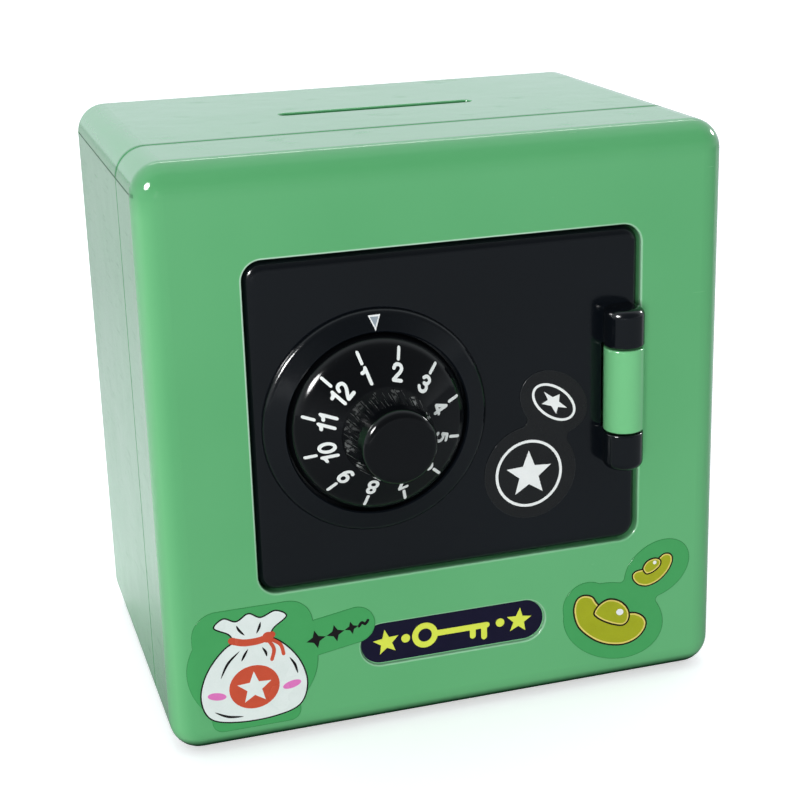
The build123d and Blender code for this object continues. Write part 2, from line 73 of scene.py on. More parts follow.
LEFT_X, FLOOR_Z, TOP_Z = cad_box[0].x, cad_box[0].z, cad_box[1].z
FRONT_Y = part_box("ingot_label")[1].y                   # the flat front face
SEAM_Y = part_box("rear_body")[0].y                      # where the rear half meets the cover
SEAM_SIDE = cad_box[1].x - 0.0005                      # further out than this is the housing's side
PARTING_Z = TOP_Z - 0.0059                             # the mould's line at the foot of the top corner's roll
SLOT_Y, SLOT_REACH, SLOT_HALF = FRONT_Y + 0.047, 0.0216, 0.0022      # the coin slot's middle and half sizes
# heights and widths over which the painted highlight on the opening's edge changes strength
RIM_LIT_Z, RIM_LIT_X = (0.034, 0.060), (0.020, 0.040)  # where the opening's edge grows pale
DIAL_AXIS = Vector(JOINTS["dial_spin"]["pos_m"])


def outline_of(node, grow):
    """The (x, z) middle and half sizes of a node in the front view, made larger by a gap."""
    low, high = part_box(node)
    return (((low.x + high.x) / 2, (low.z + high.z) / 2),
            ((high.x - low.x) / 2 + grow, (high.z - low.z) / 2 + grow))


OPENING = outline_of("door_panel", 0.0004)
POCKET = outline_of("name_plate", 0.00025)


# ---------------------------------------------------------------- materials

class Graph:
    """A node tree, built by short calls. A value is a number, a colour or another node's output."""

    def __init__(self, owner, coords):
        owner.use_nodes = True
        self.tree = owner.node_tree
        self.coords = self.tree.nodes.new("ShaderNodeTexCoord").outputs[coords]

    def feed(self, socket, value):
        """Gives an input its value, or links it to an output."""
        if isinstance(value, bpy.types.NodeSocket):
            self.tree.links.new(value, socket)
        else:
            socket.default_value = value

    def put(self, kind, sources=None, **settings):
        """A new node. Sources feed its inputs, and settings are its own choices."""
        node = self.tree.nodes.new(kind)
        for key, value in settings.items():
            setattr(node, key, value)
        for socket, value in (sources or {}).items():
            self.feed(node.inputs[socket], value)
        return node

    def stretched(self, scale):
        return self.put("ShaderNodeMapping", {"Vector": self.coords, "Scale": scale}).outputs["Vector"]

    def noise(self, scale, detail=3.0, rough=0.5, vector=None):
        made = self.put("ShaderNodeTexNoise", {
            "Vector": vector or self.coords, "Scale": scale, "Detail": detail, "Roughness": rough})
        return made.outputs["Fac"]

    def remap(self, value, low, high, start=0.3, end=0.7):
        made = self.put("ShaderNodeMapRange", {
            "Value": value, "From Min": start, "From Max": end, "To Min": low, "To Max": high})
        return made.outputs["Result"]

    def mix(self, factor, a, b):
        colour_a, colour_b, colour_out = 6, 7, 2
        made = self.put("ShaderNodeMix", {"Factor": factor}, data_type="RGBA")
        self.feed(made.inputs[colour_a], a)
        self.feed(made.inputs[colour_b], b)
        return made.outputs[colour_out]

    def bump(self, height, strength, distance, normal=None):
        sources = {"Height": height, "Strength": strength, "Distance": distance}
        if normal is not None:
            sources["Normal"] = normal
        return self.put("ShaderNodeBump", sources).outputs["Normal"]

    def rounded(self, radius):
        """The normal, with edges rounded to this radius."""
        return self.put("ShaderNodeBevel", {"Radius": radius}, samples=4).outputs["Normal"]

    def edges(self, radius):
        """1 on edges sharper than this radius, 0 on flat faces."""
        sources = {0: self.rounded(radius), 1: self.put("ShaderNodeNewGeometry").outputs["Normal"]}
        dot = self.put("ShaderNodeVectorMath", sources, operation="DOT_PRODUCT").outputs["Value"]
        return self.remap(dot, 1.0, 0.0, 0.80, 0.995)

    def math(self, operation, a, b=0.0):
        return self.put("ShaderNodeMath", {0: a, 1: b}, operation=operation).outputs[0]

    def axes(self):
        """The x, y and z of a point, or of a direction in the sky."""
        return tuple(self.put("ShaderNodeSeparateXYZ", {0: self.coords}).outputs)

    def by_value(self, value, at, width):
        """1 where a coordinate is at this value, 0 once it is this far off."""
        off = self.math("ABSOLUTE", self.math("SUBTRACT", value, at))
        return self.remap(off, 1.0, 0.0, width * 0.5, width)

    def product(self, *factors):
        """All the factors multiplied together."""
        made = factors[0]
        for factor in factors[1:]:
            made = self.math("MULTIPLY", made, factor)
        return made

    def by_outline(self, middle, half, radius, width):
        """1 on a rounded rectangle of the front view, 0 once further off than the width."""
        x, _, z = self.axes()
        parts = []
        for value, at, reach in ((x, middle[0], half[0]), (z, middle[1], half[1])):
            off = self.math("ABSOLUTE", self.math("SUBTRACT", value, at))
            parts.append(self.math("MAXIMUM", self.math("SUBTRACT", off, reach - radius), 0.0))
        squares = [self.math("MULTIPLY", p, p) for p in parts]
        return self.by_value(self.math("SQRT", self.math("ADD", *squares)), radius, width)


class Finish(Graph):
    """A material's node tree."""

    def __init__(self, name):
        self.material = bpy.data.materials.new(name)
        super().__init__(self.material, "Object")
        self.bsdf = self.tree.nodes["Principled BSDF"]

    def set(self, **values):
        """Sets the surface's inputs, and gives the material."""
        for key, value in values.items():
            self.feed(self.bsdf.inputs[key.replace("_", " ")], value)
        return self.material


def moulded(name, colour, light, rough=(0.10, 0.19), spec=0.5, coat=0.0, edge_wear_and_highlight=0.35, peel=0.10, scratches=0.15,
            over=None):
    """Glossy moulded plastic: flow mottling, smudges, orange peel, fine rub marks, and paler edges that are partly
    rub wear and partly a painted highlight.

    over draws lines and painted light and shade on the colour, and gives the colour and how much of the gloss they
    take away.
    """
    g = Finish(name)
    cloud = g.noise(14.0, 3.0)
    base = g.mix(g.remap(cloud, 0.0, 0.35), colour, light)
    # paler edges: partly rub wear, partly a painted highlight where the edges catch the light
    base = g.mix(g.math("MULTIPLY", g.edges(0.0006), edge_wear_and_highlight), base, light)
    base, dull = over(g, base) if over else (base, 0.0)
    gloss = g.math("SUBTRACT", 1.0, dull)
    smudge = g.noise(38.0, 5.0, 0.62)
    rub = g.noise(120.0, 2.0, 0.5, g.stretched((1.0, 1.0, 14.0)))
    roughness = g.remap(smudge, rough[0], rough[1])
    lines = g.remap(rub, 0.0, scratches, 0.62, 0.80)
    roughness = g.math("ADD", roughness, lines)
    waves = g.bump(g.noise(160.0, 1.5), peel, 0.0004)
    normal = g.bump(g.noise(2200.0, 2.0), 0.05, 0.00005, waves)
    spec, coat = (g.math("MULTIPLY", gloss, amount) for amount in (spec, coat))
    return g.set(Base_Color=base, Roughness=roughness, Normal=normal, Specular_IOR_Level=spec,
                 Coat_Weight=coat, Coat_Roughness=0.04)


def metal(name, colour, rough=0.28, grain=(1.0, 18.0, 1.0)):
    """Plated steel with a drawn grain, faint stains and brighter edges."""
    g = Finish(name)
    streaks = g.noise(900.0, 3.0, 0.6, g.stretched(grain))
    stain = g.noise(160.0, 4.0)
    dull = tuple(c * 0.72 for c in colour[:3]) + (1.0,)
    base = g.mix(g.remap(stain, 0.0, 0.6), colour, dull)
    base = g.mix(g.math("MULTIPLY", g.edges(0.0003), 0.5), base, (0.9, 0.9, 0.9, 1.0))
    roughness = g.remap(streaks, rough - 0.08, rough + 0.12)
    return g.set(Base_Color=base, Metallic=1.0, Roughness=roughness, Normal=g.bump(streaks, 0.25, 0.00004))


def matte(name, colour, dark):
    """Unpolished moulded plastic, for the lock's wheels."""
    g = Finish(name)
    base = g.mix(g.remap(g.noise(60.0, 4.0), 0.0, 0.6), colour, dark)
    pale = tuple(min(1.0, c * 1.25) for c in colour[:3]) + (1.0,)
    base = g.mix(g.math("MULTIPLY", g.edges(0.0004), 0.4), base, pale)
    tool = g.noise(700.0, 3.0, 0.6, g.stretched((1.0, 0.2, 1.0)))
    return g.set(Base_Color=base, Roughness=g.remap(tool, 0.42, 0.60), Normal=g.bump(tool, 0.15, 0.00008))


def printed(name, colour, dark, rough=0.22, dots=0.12, spec=0.4, rim=None):
    """Ink on a film: a faint halftone, uneven ink and a soft gloss. rim is the colour of its cut edge."""
    g = Finish(name)
    cell = g.put("ShaderNodeTexVoronoi", {"Vector": g.coords, "Scale": 2600.0}).outputs["Distance"]
    dot = g.remap(cell, dots, 0.0, 0.15, 0.45)
    blot = g.remap(g.noise(320.0, 3.0), 0.0, 0.25)
    base = g.mix(g.math("ADD", dot, blot), colour, dark)
    soft = None
    if rim:
        base = g.mix(g.edges(0.0003), base, rim)
        soft = g.rounded(0.0003)
    normal = g.bump(g.noise(240.0, 2.0), 0.08, 0.0002, soft)
    roughness = g.remap(g.noise(90.0, 3.0), rough - 0.06, rough + 0.08)
    return g.set(Base_Color=base, Roughness=roughness, Normal=normal, Specular_IOR_Level=spec)


def painted_edge_light(g, base, x, y, z):
    """Painted light: painted highlights that make the hinge barrels and the left front edge paler, and a painted
    dark reflection that makes a darker brow along the top one.
    """
    barrel_highlight = g.remap(y, 0.30, 0.0, FRONT_Y - 0.0014, FRONT_Y - 0.0004)
    left = g.remap(x, 1.0, 0.0, LEFT_X + 0.003, LEFT_X + 0.008)
    below_top = g.remap(z, 1.0, 0.0, PARTING_Z - 0.004, PARTING_Z + 0.002)
    left_edge_highlight = g.product(g.by_value(y, FRONT_Y + 0.0034, 0.0032), left, below_top, 0.27)
    # painted highlight on the hinge barrels and on the left front edge's roll
    base = g.mix(g.math("MAXIMUM", barrel_highlight, left_edge_highlight), base, srgb(150, 232, 164))
    below_brow = g.remap(z, 0.0, 0.35, TOP_Z - 0.007, TOP_Z - 0.0035)
    brow_dark_reflection = g.product(g.by_value(y, FRONT_Y + 0.0018, 0.0040), below_brow)
    # painted dark reflection along the rounded top front edge
    return g.mix(brow_dark_reflection, base, srgb(66, 146, 86))


def painted_outline_highlights(g, base, x, y, z):
    """Painted highlights: pale lines round the door's opening, where light catches its edge, and round the plate's
    pocket, where light catches its rim.
    """
    lit = g.product(g.remap(z, 0.22, 0.85, *RIM_LIT_Z), g.remap(x, 1.0, 0.45, *RIM_LIT_X))
    rim = g.product(g.by_outline(*OPENING, 0.0040, 0.00046), lit)
    plate = g.product(g.by_outline(*POCKET, POCKET[1][1], 0.0004), 0.30)
    pale = g.product(g.math("MAXIMUM", rim, plate), g.by_value(y, FRONT_Y, 0.0012))
    return g.mix(pale, base, srgb(206, 238, 214))


def joint_lines_and_shade(g, base, x, y, z):
    """Dark lines where the two halves meet, painted shade in the coin slot and a painted contact shadow at the
    foot, and the loss of gloss at the seam and the foot.
    """
    seam = g.product(g.by_value(y, SEAM_Y, 0.0016), g.math("GREATER_THAN", z, PARTING_Z))
    base = g.mix(g.product(seam, 0.85), base, srgb(52, 144, 80))
    side = g.math("GREATER_THAN", g.math("ABSOLUTE", x), SEAM_SIDE)
    parting = g.math("MAXIMUM", g.by_value(y, SEAM_Y, 0.0005), g.by_value(z, PARTING_Z, 0.0005))
    # painted shade on the walls of the coin slot
    slot = g.math("LESS_THAN", z, TOP_Z - 0.0003)
    for value, at, reach in ((x, 0.0, SLOT_REACH), (y, SLOT_Y, SLOT_HALF)):
        slot = g.product(slot, g.math("LESS_THAN", g.math("ABSOLUTE", g.math("SUBTRACT", value, at)), reach))
    dark = g.math("MAXIMUM", g.product(parting, side, 0.7), g.product(slot, 0.8))
    # the parting line's own dark colour, and painted shade in the coin slot
    base = g.mix(dark, base, srgb(36, 118, 64))
    # painted contact shadow along the foot, which also takes away its gloss
    foot_shadow = g.by_value(z, FLOOR_Z, 0.0036)
    return g.mix(foot_shadow, base, srgb(14, 56, 30)), g.math("MAXIMUM", g.product(seam, 0.8), foot_shadow)


def housing_lines_and_light(g, base):
    """The housing's colour with its lines and its painted light and shade drawn in, and where they take the gloss
    away.
    """
    point = g.axes()
    base = painted_edge_light(g, base, *point)
    base = painted_outline_highlights(g, base, *point)
    return joint_lines_and_shade(g, base, *point)


GREEN = moulded("green_plastic", srgb(91, 169, 110), srgb(115, 189, 132), coat=0.25, over=housing_lines_and_light)
BLACK = moulded("black_plastic", srgb(7, 10, 14), srgb(18, 23, 30), rough=(0.11, 0.18), spec=0.52,
                edge_wear_and_highlight=0.5, scratches=0.08)
DIAL = moulded("dial_plastic", srgb(7, 8, 10), srgb(18, 20, 24), rough=(0.08, 0.14), spec=0.38,
               edge_wear_and_highlight=0.6, peel=0.06, scratches=0.08)
STEEL = metal("plated_steel", (0.62, 0.61, 0.58, 1.0))
SPRING = metal("spring_steel", (0.45, 0.46, 0.48, 1.0), 0.22, (1.0, 1.0, 6.0))
NYLON = matte("wheel_nylon", srgb(226, 224, 212), srgb(198, 194, 178))
PLATE = printed("plate_film", srgb(26, 24, 46), srgb(17, 16, 34), rough=0.20, spec=0.16)
COIN_FILM = printed("coin_film", srgb(28, 29, 30), srgb(18, 19, 21), rough=0.16, dots=0.05, spec=0.4,
                    rim=srgb(52, 55, 57))
GREEN_FILM = printed("green_film", srgb(70, 158, 92), srgb(62, 150, 85), rough=0.15, dots=0.06,
                     rim=srgb(50, 132, 72))

WHITE_INK = printed("white_ink", srgb(236, 238, 236), srgb(210, 214, 212))
DIAL_INK = printed("dial_ink", srgb(232, 235, 232), srgb(190, 195, 192), rough=0.4)
BAG_INK = printed("bag_ink", srgb(224, 232, 228), srgb(200, 212, 206))
BLACK_INK = printed("black_ink", srgb(24, 20, 22), srgb(12, 10, 12))
RED_INK = printed("red_ink", srgb(200, 82, 56), srgb(176, 62, 44))
PINK_INK = printed("pink_ink", srgb(222, 120, 188), srgb(204, 98, 168))
LIME_INK = printed("lime_ink", srgb(220, 230, 84), srgb(196, 206, 58))
GOLD_INK = printed("gold_ink", srgb(164, 170, 34), srgb(140, 146, 26))
PALE_GOLD_INK = printed("pale_gold_ink", srgb(226, 208, 112), srgb(206, 186, 88))
BROWN_INK = printed("brown_ink", srgb(34, 26, 10), srgb(24, 18, 8))
INDEX_INK = printed("index_ink", srgb(150, 160, 168), srgb(110, 122, 132))

FINISH = {
    "green_housing": GREEN, "black_plastic": BLACK, "lock_plastic": NYLON, "steel": STEEL,
    "spring_steel": SPRING, "plate_film": PLATE, "coin_film": COIN_FILM, "ingot_film": GREEN_FILM,
    "bag_film": GREEN_FILM,
}


def dress_cad_nodes():
    """Gives each CAD node the finish of its material slot."""
    for name, obj in NODES.items():
        finish = DIAL if name == "dial_knob" else FINISH[SLOT_OF[name]]
        for slot in obj.material_slots:
            slot.material = finish
        obj.data.polygons.foreach_set("use_smooth", [True] * len(obj.data.polygons))


# ---------------------------------------------------------------- flat artwork: closed, thin prisms

def prism(mesh, points, put):
    """A closed flat prism. put(point, front) gives a corner's place, on the front or on the back."""
    near = [mesh.verts.new(put(p, True)) for p in points]
    far = [mesh.verts.new(put(p, False)) for p in points]
    mesh.faces.new(near)
    mesh.faces.new(far[::-1])
    for i in range(len(points)):
        j = (i + 1) % len(points)
        mesh.faces.new((near[i], far[i], far[j], near[j]))


def tube(mesh, rings, closed=False):
    """Faces between rings of four corners, and over the two ends unless it closes on itself."""
    for i in range(len(rings) if closed else len(rings) - 1):
        a, b = rings[i], rings[(i + 1) % len(rings)]
        for k in range(4):
            m = (k + 1) % 4
            mesh.faces.new((a[k], a[m], b[m], b[k]))
    if not closed:
        mesh.faces.new(rings[0][::-1])
        mesh.faces.new(rings[-1])


def rounding(p, run, half, sign):
    """The sections of a band's round end, from its last full one outward."""
    angles = [math.radians(degrees) for degrees in (30, 60, 82)]
    return [(p + run * sign * half * math.sin(a), run, half * math.cos(a)) for a in angles]


def band(mesh, points, width, put, closed=False, taper=False):
    """A band along a line: mitred joints, and round or tapered ends."""
    line = [Vector(p) for p in points]
    sections = []
    count = len(line)
    for i, p in enumerate(line):
        runs = []
        if closed or i > 0:
            runs.append((p - line[i - 1]).normalized())
        if closed or i < count - 1:
            runs.append((line[(i + 1) % count] - p).normalized())
        run = (runs[0] + runs[-1]).normalized()
        half = width / 2 / max(0.5, run.dot(runs[0]))
        if taper:
            half *= max(0.12, math.sin(math.pi * (i + 0.35) / (count - 0.3)))
        sections.append((p, run, half))
    if not closed and not taper:
        start, end = (rounding(*sections[0], -1), rounding(*sections[-1], 1))
        sections = start[::-1] + sections + end
    rings = []
    for p, run, half in sections:
        side = Vector((-run.y, run.x)) * half
        corners = ((p + side, True), (p - side, True), (p - side, False), (p + side, False))
        rings.append([mesh.verts.new(put(point, front)) for point, front in corners])
    tube(mesh, rings, closed)


def finished(mesh, name, material, body, slot):
    """Makes the object of a filled bmesh, and lets it ride on a body."""
    bmesh.ops.recalc_face_normals(mesh, faces=mesh.faces[:])
    data = bpy.data.meshes.new(name)
    mesh.to_mesh(data)
    mesh.free()
    data.materials.append(material)
    obj = bpy.data.objects.new(name, data)
    bpy.context.scene.collection.objects.link(obj)
    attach(obj, body)


class Print:
    """Shapes of one colour on a label. Points are the (x, z) of the front view, in millimetres."""

    def __init__(self, name, material, body, slot, label):
        self.goes = (name, material, body, slot)
        self.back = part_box(label)[0].y
        self.mesh = bmesh.new()

    def proud(self, height):
        """Places a corner on the print's face, this far proud, or just behind the film's face."""
        def put(point, front):
            depth = -height if front else LABEL_SINK
            return Vector((point[0] * MM, self.back + depth * MM, point[1] * MM))
        return put

    def fill(self, points, height=0.05):
        prism(self.mesh, points, self.proud(height))

    def stroke(self, points, width, height=0.08, closed=False, taper=False):
        band(self.mesh, points, width, self.proud(height), closed, taper)

    def done(self):
        finished(self.mesh, *self.goes)


def curve(points, closed=True, steps=6):
    """A smooth line through the points (Catmull-Rom)."""
    pts = [Vector(p) for p in points]
    count = len(pts)
    made = []
    spans = count if closed else count - 1
    for i in range(spans):
        if closed:
            a, b, c, d = (pts[(i + k - 1) % count] for k in range(4))
        else:
            a, b, c, d = (pts[min(max(i + k - 1, 0), count - 1)] for k in range(4))
        for s in range(steps):
            t = s / steps
            made.append(0.5 * ((2 * b) + (c - a) * t + (2 * a - 5 * b + 4 * c - d) * t * t
                               + (3 * b - a - 3 * c + d) * t ** 3))
    if not closed:
        made.append(pts[-1])
    return made


def oval(x, z, rx, rz=None, turn=0.0, count=40):
    rz = rx if rz is None else rz
    spin = Matrix.Rotation(math.radians(turn), 2)
    made = []
    for i in range(count):
        a = 2 * math.pi * i / count
        made.append(Vector((x, z)) + spin @ Vector((rx * math.cos(a), rz * math.sin(a))))
    return made


def star(x, z, outer, inner, tips=5, turn=0.0, squash=1.0, lean=0.0):
    spin = Matrix.Rotation(math.radians(lean), 2)
    made = []
    for i in range(2 * tips):
        r = outer if i % 2 == 0 else inner
        a = math.radians(90 + turn) + math.pi * i / tips
        made.append(Vector((x, z)) + spin @ Vector((r * math.cos(a), r * math.sin(a) * squash)))
    return made


def moved(points, x, z, size):
    """Points scaled and put at (x, z)."""
    return [Vector((x, z)) + Vector(p) * size for p in points]


def shrunk(points, inward):
    """The same outline drawn this much further in, for a line along the inside of an edge."""
    made = []
    count = len(points)
    area = sum(a.x * b.y - b.x * a.y for a, b in zip(points, points[1:] + points[:1]))
    for i, p in enumerate(points):
        run = (points[(i + 1) % count] - points[i - 1]).normalized()
        made.append(p + Vector((-run.y, run.x)) * math.copysign(inward, area))
    return made


# ---------------------------------------------------------------- the dial's figures

# (radius, depth) along the dial's skirt and the door's ring, in millimetres
SKIRT = ((9.1, -8.0), (15.73, -4.564), (16.3, -4.208))
RING = ((18.5, -2.2), (18.8, -2.5), (21.93, -1.561))
DIGITS = {
    "0": [("oval", 0, 0, 0.84, 1.42)],
    "1": [("line", (0.35, 1.44), (0.35, -1.44)), ("curve", (0.3, 1.3), (-0.05, 0.92), (-0.55, 0.78))],
    "2": [("curve", (-0.80, 0.66), (-0.55, 1.22), (0, 1.42), (0.60, 1.18), (0.76, 0.62), (0.42, -0.05),
           (-0.25, -0.75), (-0.74, -1.36)), ("line", (-0.72, -1.42), (0.82, -1.42))],
    "3": [("curve", (-0.74, 0.88), (-0.35, 1.34), (0.18, 1.42), (0.68, 1.10), (0.66, 0.50), (0.25, 0.14),
           (-0.12, 0.10)),
          ("curve", (-0.12, 0.06), (0.42, 0.0), (0.82, -0.38), (0.78, -0.98), (0.33, -1.38), (-0.28, -1.42),
           (-0.80, -0.95))],
    "4": [("line", (0.42, 1.40), (0.42, -1.44)), ("line", (0.38, 1.32), (-0.82, -0.62)),
          ("line", (-0.86, -0.72), (0.92, -0.72))],
    "5": [("line", (0.72, 1.42), (-0.48, 1.42)), ("line", (-0.50, 1.38), (-0.66, 0.16)),
          ("curve", (-0.66, 0.14), (-0.12, 0.46), (0.46, 0.34), (0.82, -0.22), (0.74, -0.92), (0.27, -1.38),
           (-0.30, -1.42), (-0.80, -1.02))],
    "6": [("oval", 0, -0.58, 0.80, 0.84),
          ("curve", (-0.80, -0.50), (-0.74, 0.42), (-0.40, 1.14), (0.10, 1.44), (0.64, 1.18))],
    "7": [("line", (-0.80, 1.42), (0.80, 1.42)),
          ("curve", (0.78, 1.34), (0.22, 0.35), (-0.10, -0.60), (-0.26, -1.44))],
    "8": [("oval", 0, 0.76, 0.66, 0.66), ("oval", 0, -0.66, 0.82, 0.76)],
    "9": [("oval", 0, 0.58, 0.80, 0.84),
          ("curve", (0.80, 0.50), (0.74, -0.42), (0.40, -1.14), (-0.10, -1.44), (-0.64, -1.18))],
}
ADVANCE = {"10": 2.25, "11": 1.95, "12": 2.2}      # from the middle of one digit to the next
FIRST_ANGLE, STEP_ANGLE, NUMBERS = -15.7, 30.0, 12      # degrees clockwise from the top
DIGIT_AT, DIGIT_LINE = 11.8, 0.66
TICK_FROM, TICK_TO, TICK_LINE = 14.15, 16.15, 0.62
INDEX_TOP, INDEX_TIP, INDEX_HALF, INDEX_ROWS = 21.9, 18.95, 1.25, 6


def depth_on(profile, radius):
    """The depth of a turned face at a radius, along the profile's lines."""
    for (r0, d0), (r1, d1) in zip(profile, profile[1:]):
        if radius <= r1:
            break
    return d0 + (d1 - d0) * (radius - r0) / (r1 - r0)


def on_dial(profile, angle, at_radius, shift, height):
    """Places a corner on a turned face about the dial's axis.

    The artwork's own up points outward, at an angle clockwise from the top.
    """
    a = math.radians(angle)
    out, side = Vector((math.sin(a), math.cos(a))), Vector((math.cos(a), -math.sin(a)))

    def put(point, front):
        spot = out * (at_radius + point[1]) + side * (shift + point[0])
        depth = depth_on(profile, spot.length) + (-height if front else DIAL_SINK)
        return Vector((DIAL_AXIS.x + spot.x * MM, FRONT_Y + depth * MM, DIAL_AXIS.z + spot.y * MM))
    return put


def between(start, end, step=0.4):
    """A straight line cut in short lengths, so that it can follow a curved face."""
    a, b = Vector(start), Vector(end)
    count = max(2, round((b - a).length / step))
    return [a.lerp(b, i / count) for i in range(count + 1)]


def dial_figures():
    """The numbers 1 to 12 and their ticks. The strokes of a digit get slightly different heights."""
    numbers, ticks = bmesh.new(), bmesh.new()
    for k in range(NUMBERS):
        angle = FIRST_ANGLE + STEP_ANGLE * k
        text = str(k + 1)
        for i, digit in enumerate(text):
            shift = (i - 0.5) * ADVANCE[text] if text in ADVANCE else (-0.1 if digit == "1" else 0.0)
            for order, (kind, *points) in enumerate(DIGITS[digit]):
                put = on_dial(SKIRT, angle, DIGIT_AT, shift, 0.05 + 0.012 * order)
                if kind == "oval":
                    band(numbers, oval(*points, count=32), DIGIT_LINE, put, closed=True)
                elif kind == "curve":
                    band(numbers, curve(points, closed=False, steps=5), DIGIT_LINE, put)
                else:
                    band(numbers, between(*points), DIGIT_LINE, put)
        band(ticks, between((0, TICK_FROM), (0, TICK_TO)), TICK_LINE, on_dial(SKIRT, angle, 0.0, 0.0, 0.05))
    finished(numbers, "dial_numbers", DIAL_INK, "dial", "black_plastic")
    finished(ticks, "dial_ticks", DIAL_INK, "dial", "black_plastic")


def index_mark():
    """The pointer on the ring: a grey triangle with a white outline, point down."""
    layers = (("index_mark", WHITE_INK, 0.0, 0.05), ("index_core", INDEX_INK, 0.34, 0.08))
    for name, ink, grow, height in layers:
        mesh = bmesh.new()
        low, high, wide = INDEX_TIP + grow * 2.1, INDEX_TOP - grow, INDEX_HALF - grow * 1.15
        put = on_dial(RING, 0.0, 0.0, 0.0, height)
        rings = []
        for i in range(INDEX_ROWS + 1):
            r, w = low + (high - low) * i / INDEX_ROWS, max(0.04, wide * i / INDEX_ROWS)
            corners = (((w, r), True), ((-w, r), True), ((-w, r), False), ((w, r), False))
            rings.append([mesh.verts.new(put(point, front)) for point, front in corners])
        tube(mesh, rings)
        finished(mesh, name, ink, "door", "black_plastic")


# ---------------------------------------------------------------- labels

def coin_art():
    """A round coin and one seen at a slant: a ring with a star."""
    art = Print("coin_art", WHITE_INK, "door", "coin_film", "coin_label")
    art.stroke(oval(16.45, 51.4, 6.98, count=64), 0.58, closed=True)
    art.fill(star(16.45, 51.25, 5.1, 2.2))
    art.stroke(oval(21.95, 66.15, 5.25, 2.95, turn=-39, count=56), 0.52, closed=True)
    art.fill(star(21.95, 66.1, 3.4, 1.5, squash=0.60, lean=-39))
    art.done()


def ingot_art():
    """Two ingots: a crescent hull with rounded horns, and a dome lying over its upper edge."""
    inks = {"gold": GOLD_INK, "lines": BROWN_INK, "rims": PALE_GOLD_INK, "shine": WHITE_INK}
    art = {name: Print("ingot_" + name, ink, "housing", "ingot_film", "ingot_label")
           for name, ink in inks.items()}
    big_hull = curve([(29.1, 21.9), (27.6, 21.6), (26.7, 20.3), (26.5, 17.9), (27.6, 14.6), (30.5, 11.6),
                      (33.8, 9.7), (37.5, 8.9), (40.4, 9.4), (42.4, 10.8), (43.3, 12.6), (43.0, 14.2),
                      (41.6, 15.5), (39.6, 16.1), (35.5, 16.0), (32.0, 19.4), (30.8, 21.2)])
    big_dome = curve([(31.1, 17.5), (32.2, 19.1), (34.3, 20.1), (36.7, 19.5), (38.5, 17.9), (39.3, 16.0),
                      (39.0, 14.3), (37.8, 13.5), (35.7, 14.0), (33.3, 15.2), (31.6, 16.5)])
    small_hull = curve([(40.0, 24.9), (40.2, 23.6), (41.5, 22.3), (43.6, 21.8), (46.1, 22.6),
                        (48.2, 24.5), (49.2, 26.5), (49.1, 28.0), (48.0, 28.7), (46.6, 28.3),
                        (44.5, 26.2), (42.2, 25.8), (40.8, 25.6)])
    small_dome = curve([(42.4, 25.7), (42.6, 26.7), (43.6, 27.7), (45.2, 28.0), (46.4, 27.4),
                        (46.4, 26.2), (45.0, 25.0), (43.3, 24.6)])
    for hull, dome, line in ((big_hull, big_dome, 0.36), (small_hull, small_dome, 0.30)):
        art["gold"].fill(hull, 0.05)
        art["rims"].stroke(shrunk(hull, line * 0.95), line, 0.065, closed=True)
        art["lines"].stroke(hull, line, 0.08, closed=True)
        art["gold"].fill(dome, 0.10)
        art["rims"].stroke(shrunk(dome, line * 0.95), line * 0.8, 0.115, closed=True)
        art["lines"].stroke(dome, line, 0.13, closed=True)
    art["shine"].fill(oval(37.1, 16.7, 0.85, 0.72, turn=-20, count=24), 0.14)
    art["shine"].fill(oval(45.1, 27.0, 0.42, count=20), 0.14)
    for part in art.values():
        part.done()


